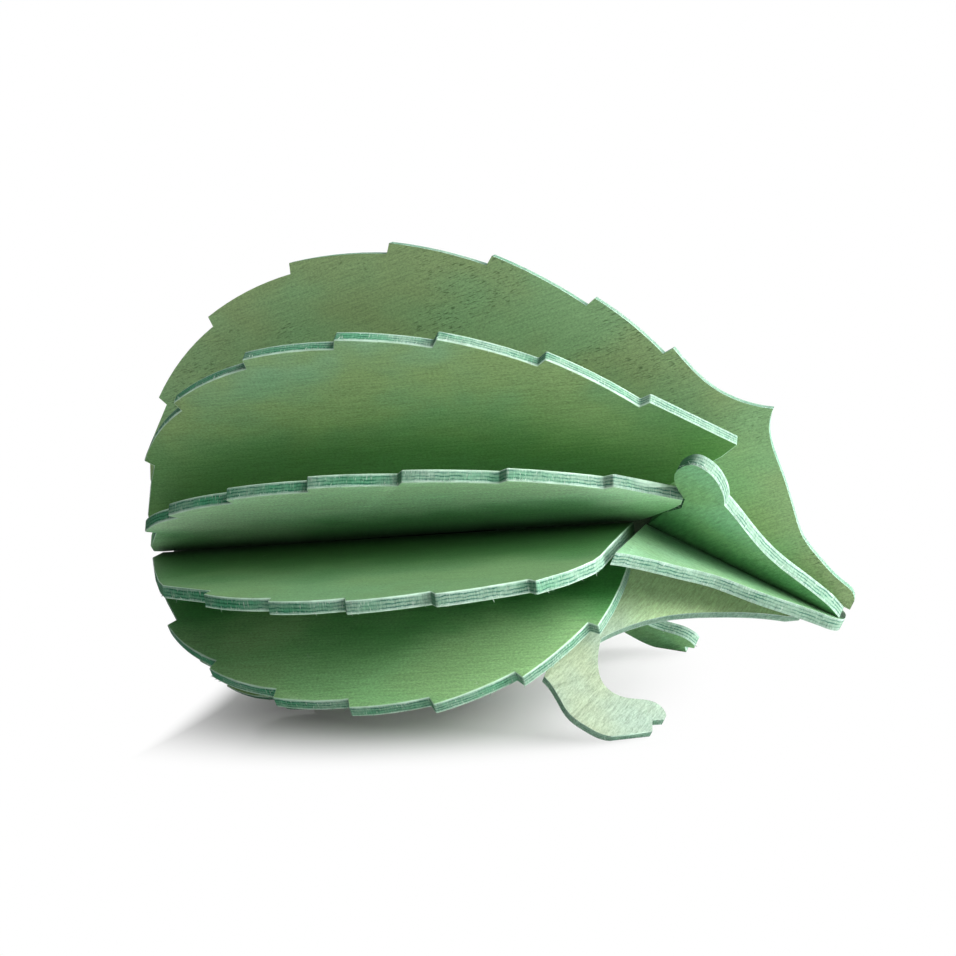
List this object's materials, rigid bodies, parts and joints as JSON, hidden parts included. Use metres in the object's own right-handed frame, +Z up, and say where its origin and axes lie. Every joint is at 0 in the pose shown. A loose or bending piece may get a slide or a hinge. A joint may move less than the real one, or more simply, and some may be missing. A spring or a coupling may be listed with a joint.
{
  "type": "hedgehog figurine",
  "caption": "Hedgehog figurine of slot together plywood plates fanned about a body axis and a sloping head axis, stained green.",
  "frame": {"origin": "on the floor, in the mid plane, under the middle of the body; the flat underside of the centre plate rests there", "axes": "+X forward to the nose, +Y to the animal's left, +Z up"},
  "size_m": [0.0811, 0.062, 0.0542],
  "materials": {
    "centre_plate": "green stained plywood, satin faces, sawn edges",
    "right_shoulder_plate": "green stained plywood, satin faces, sawn edges",
    "left_shoulder_plate": "green stained plywood, satin faces, sawn edges",
    "right_flank_plate": "green stained plywood, satin faces, sawn edges",
    "left_flank_plate": "green stained plywood, satin faces, sawn edges",
    "side_plate": "green stained plywood, satin faces, sawn edges",
    "right_ear_plate": "green stained plywood, satin faces, sawn edges",
    "left_ear_plate": "green stained plywood, satin faces, sawn edges",
    "cheek_plate": "green stained plywood, satin faces, sawn edges"
  },
  "bodies": {
    "root": {"centre_plate": "centre_plate", "right_shoulder_plate": "right_shoulder_plate", "left_shoulder_plate": "left_shoulder_plate", "right_flank_plate": "right_flank_plate", "left_flank_plate": "left_flank_plate", "side_plate": "side_plate", "right_ear_plate": "right_ear_plate", "left_ear_plate": "left_ear_plate", "cheek_plate": "cheek_plate"}
  },
  "joints": []
}
